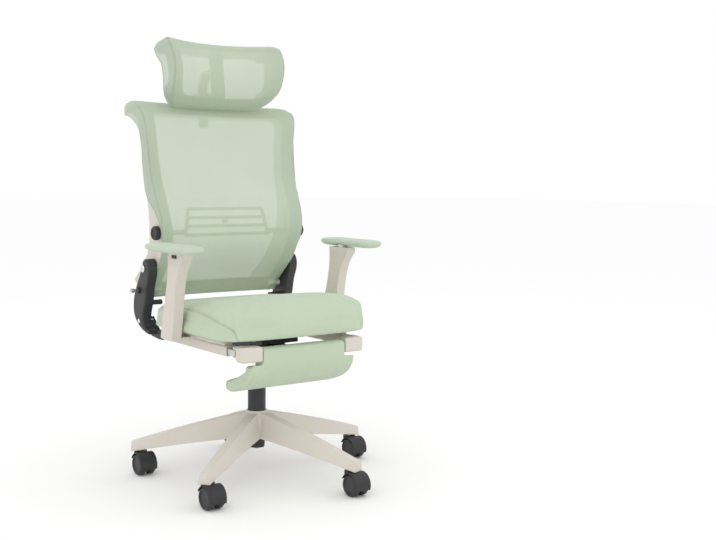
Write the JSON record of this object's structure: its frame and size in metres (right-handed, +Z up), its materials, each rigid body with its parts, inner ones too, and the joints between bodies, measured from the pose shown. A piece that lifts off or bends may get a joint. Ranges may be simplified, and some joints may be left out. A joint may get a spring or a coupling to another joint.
{
  "type": "reclining office chair with footrest",
  "caption": "High-backed mesh office chair on a five-arm caster base, with a reclining and folding back, headrest, height armrests and a pull-out footrest.",
  "frame": {"origin": "on the floor, on the swivel axis of the seat", "axes": "+Z up, the sitter faces -Y, the sitter's right is -X"},
  "size_m": [0.6735, 0.7026, 1.2195],
  "materials": {
    "base_plastic": "moulded, satin",
    "beige_plastic": "moulded, satin",
    "back_plastic": "moulded, satin",
    "black_metal": "black paint, fine texture",
    "black_plastic": "moulded, matte",
    "wheel_plastic": "moulded, light gloss",
    "nylon": "natural moulding",
    "steel": "bright",
    "chrome": "polished",
    "arm_pad": "soft polyurethane skin",
    "seat_fabric": "woven cover over foam",
    "mesh_fabric": "stretched open mesh"
  },
  "bodies": {
    "base": {"star_base": "base_plastic", "lift_column": "black_metal", "guide_bush": "nylon", "thrust_bearing": "steel", "caster_stems": "steel"},
    "lift_rod": {"piston_rod": "steel", "retaining_clip": "steel"},
    "seat": {"gas_cylinder": "chrome", "mechanism_housing": "black_metal", "tilt_axle": "steel", "seat_shell": "beige_plastic", "seat_cushion": "seat_fabric", "footrest_channel_right": "beige_plastic", "footrest_channel_left": "beige_plastic", "armrest_bracket_right": "beige_plastic", "armrest_bracket_left": "beige_plastic", "armrest_post_right": "steel", "armrest_post_left": "steel", "seat_bolts": "steel"},
    "height_lever": {"height_lever": "black_plastic"},
    "tension_knob": {"tension_knob": "black_plastic"},
    "footrest_frame": {"footrest_rail_right": "steel", "footrest_rail_left": "steel", "footrest_bracket_right": "beige_plastic", "footrest_bracket_left": "beige_plastic", "footrest_hinge_bar": "steel"},
    "footrest_pad": {"footrest_pad": "seat_fabric"},
    "back_tilt": {"yoke": "black_metal", "back_arm_right": "black_metal", "back_arm_left": "black_metal", "pivot_bolts": "chrome", "arm_bolts": "chrome"},
    "back": {"back_frame": "back_plastic", "back_mesh": "mesh_fabric", "headrest_block": "beige_plastic"},
    "lumbar": {"lumbar_grille": "beige_plastic"},
    "headrest_arm": {"headrest_arm": "beige_plastic", "headrest_pin": "steel"},
    "headrest": {"headrest_frame": "back_plastic", "headrest_mesh": "mesh_fabric"},
    "caster_1": {"caster_hood_1": "black_plastic"},
    "wheels_1": {"caster_wheels_1": "wheel_plastic"},
    "caster_2": {"caster_hood_2": "black_plastic"},
    "wheels_2": {"caster_wheels_2": "wheel_plastic"},
    "caster_3": {"caster_hood_3": "black_plastic"},
    "wheels_3": {"caster_wheels_3": "wheel_plastic"},
    "caster_4": {"caster_hood_4": "black_plastic"},
    "wheels_4": {"caster_wheels_4": "wheel_plastic"},
    "caster_5": {"caster_hood_5": "black_plastic"},
    "wheels_5": {"caster_wheels_5": "wheel_plastic"},
    "armrest_right": {"armrest_sleeve_right": "beige_plastic"},
    "armrest_button_right": {"armrest_button_right": "black_plastic"},
    "armrest_pad_right": {"armrest_pad_right": "arm_pad"},
    "lock_pin_right": {"lock_pin_right": "steel"},
    "lumbar_knob_right": {"lumbar_knob_right": "black_plastic"},
    "armrest_left": {"armrest_sleeve_left": "beige_plastic"},
    "armrest_button_left": {"armrest_button_left": "black_plastic"},
    "armrest_pad_left": {"armrest_pad_left": "arm_pad"},
    "lock_pin_left": {"lock_pin_left": "steel"},
    "lumbar_knob_left": {"lumbar_knob_left": "black_plastic"}
  },
  "joints": [
    {"name": "caster_swivel_1", "type": "hinge", "parent": "base", "child": "caster_1", "pos_m": [0.326, 0, 0.04], "axis": [0, 0, 1], "continuous": true},
    {"name": "wheel_spin_1", "type": "hinge", "parent": "caster_1", "child": "wheels_1", "pos_m": [0.326, -0.022, 0.0295], "axis": [1, 0, 0], "continuous": true},
    {"name": "caster_swivel_2", "type": "hinge", "parent": "base", "child": "caster_2", "pos_m": [0.10074, 0.31004, 0.04], "axis": [0, 0, 1], "continuous": true},
    {"name": "wheel_spin_2", "type": "hinge", "parent": "caster_2", "child": "wheels_2", "pos_m": [0.10074, 0.28804, 0.0295], "axis": [1, 0, 0], "continuous": true},
    {"name": "caster_swivel_3", "type": "hinge", "parent": "base", "child": "caster_3", "pos_m": [-0.26374, 0.19162, 0.04], "axis": [0, 0, 1], "continuous": true},
    {"name": "wheel_spin_3", "type": "hinge", "parent": "caster_3", "child": "wheels_3", "pos_m": [-0.26374, 0.16962, 0.0295], "axis": [1, 0, 0], "continuous": true},
    {"name": "caster_swivel_4", "type": "hinge", "parent": "base", "child": "caster_4", "pos_m": [-0.26374, -0.19162, 0.04], "axis": [0, 0, 1], "continuous": true},
    {"name": "wheel_spin_4", "type": "hinge", "parent": "caster_4", "child": "wheels_4", "pos_m": [-0.26374, -0.21362, 0.0295], "axis": [1, 0, 0], "continuous": true},
    {"name": "caster_swivel_5", "type": "hinge", "parent": "base", "child": "caster_5", "pos_m": [0.10074, -0.31004, 0.04], "axis": [0, 0, 1], "continuous": true},
    {"name": "wheel_spin_5", "type": "hinge", "parent": "caster_5", "child": "wheels_5", "pos_m": [0.10074, -0.33204, 0.0295], "axis": [1, 0, 0], "continuous": true},
    {"name": "seat_swivel", "type": "hinge", "parent": "base", "child": "lift_rod", "pos_m": [0, 0, 0.1], "axis": [0, 0, 1], "continuous": true},
    {"name": "seat_height", "type": "slide", "parent": "lift_rod", "child": "seat", "axis": [0, 0, 1], "range_m": [-0.055, 0.045]},
    {"name": "back_recline", "type": "hinge", "parent": "seat", "child": "back_tilt", "pos_m": [0, 0.04, 0.3884], "axis": [-1, 0, 0], "range_deg": [0, 30], "stiffness_Nm_per_rad": 60, "springref_deg": -28.65},
    {"name": "back_fold", "type": "hinge", "parent": "back_tilt", "child": "back", "pos_m": [0, 0.195, 0.5754], "axis": [-1, 0, 0], "range_deg": [-90, 0]},
    {"name": "lumbar_height", "type": "slide", "parent": "back", "child": "lumbar", "axis": [0, 0.1908, 0.9816], "range_m": [0, 0.03]},
    {"name": "headrest_height", "type": "slide", "parent": "back", "child": "headrest_arm", "axis": [0, 0.0523, 0.9986], "range_m": [0, 0.06]},
    {"name": "headrest_tilt", "type": "hinge", "parent": "headrest_arm", "child": "headrest", "pos_m": [0, 0.23838, 1.1356], "axis": [-1, 0, 0], "range_deg": [0, 25]},
    {"name": "footrest_slide", "type": "slide", "parent": "seat", "child": "footrest_frame", "axis": [0, -1, 0], "range_m": [0, 0.18]},
    {"name": "footrest_flip", "type": "hinge", "parent": "footrest_frame", "child": "footrest_pad", "pos_m": [0, -0.216, 0.3874], "axis": [-1, 0, 0], "range_deg": [0, 90]},
    {"name": "height_lever_lift", "type": "hinge", "parent": "seat", "child": "height_lever", "pos_m": [-0.1, 0.004, 0.3864], "axis": [1, 0, 0], "range_deg": [0, 6], "stiffness_Nm_per_rad": 0.5, "springref_deg": -11.46},
    {"name": "tension_knob_turn", "type": "hinge", "parent": "seat", "child": "tension_knob", "pos_m": [0, -0.1, 0.37], "axis": [0, 0, 1], "range_deg": [-360, 360]},
    {"name": "armrest_height_right", "type": "slide", "parent": "seat", "child": "armrest_right", "axis": [0, -0.2079, 0.9781], "range_m": [0, 0.08]},
    {"name": "armrest_button_right_press", "type": "slide", "parent": "armrest_right", "child": "armrest_button_right", "axis": [1, 0, 0], "range_m": [0, 0.003], "stiffness_N_per_m": 400, "springref_m": -0.002},
    {"name": "armrest_pad_right_swivel", "type": "hinge", "parent": "armrest_right", "child": "armrest_pad_right", "pos_m": [-0.261, -0.045, 0.64], "axis": [0, 0, 1], "range_deg": [-20, 20]},
    {"name": "lock_pin_right_push", "type": "slide", "parent": "back_tilt", "child": "lock_pin_right", "axis": [1, 0, 0], "range_m": [0, 0.01]},
    {"name": "lumbar_knob_right_turn", "type": "hinge", "parent": "back", "child": "lumbar_knob_right", "pos_m": [-0.229, 0.1462, 0.67609], "axis": [1, 0, 0], "range_deg": [0, 180]},
    {"name": "armrest_height_left", "type": "slide", "parent": "seat", "child": "armrest_left", "axis": [0, -0.2079, 0.9781], "range_m": [0, 0.08]},
    {"name": "armrest_button_left_press", "type": "slide", "parent": "armrest_left", "child": "armrest_button_left", "axis": [-1, 0, 0], "range_m": [0, 0.003], "stiffness_N_per_m": 400, "springref_m": -0.002},
    {"name": "armrest_pad_left_swivel", "type": "hinge", "parent": "armrest_left", "child": "armrest_pad_left", "pos_m": [0.261, -0.045, 0.64], "axis": [0, 0, 1], "range_deg": [-20, 20]},
    {"name": "lock_pin_left_push", "type": "slide", "parent": "back_tilt", "child": "lock_pin_left", "axis": [-1, 0, 0], "range_m": [0, 0.01]},
    {"name": "lumbar_knob_left_turn", "type": "hinge", "parent": "back", "child": "lumbar_knob_left", "pos_m": [0.229, 0.1462, 0.67609], "axis": [1, 0, 0], "range_deg": [0, 180]}
  ],
  "couplings": [
    {"joint": "lumbar_knob_right_turn", "follows": "lumbar_height", "rad_per_m": 104.7},
    {"joint": "lumbar_knob_left_turn", "follows": "lumbar_height", "rad_per_m": 104.7}
  ]
}
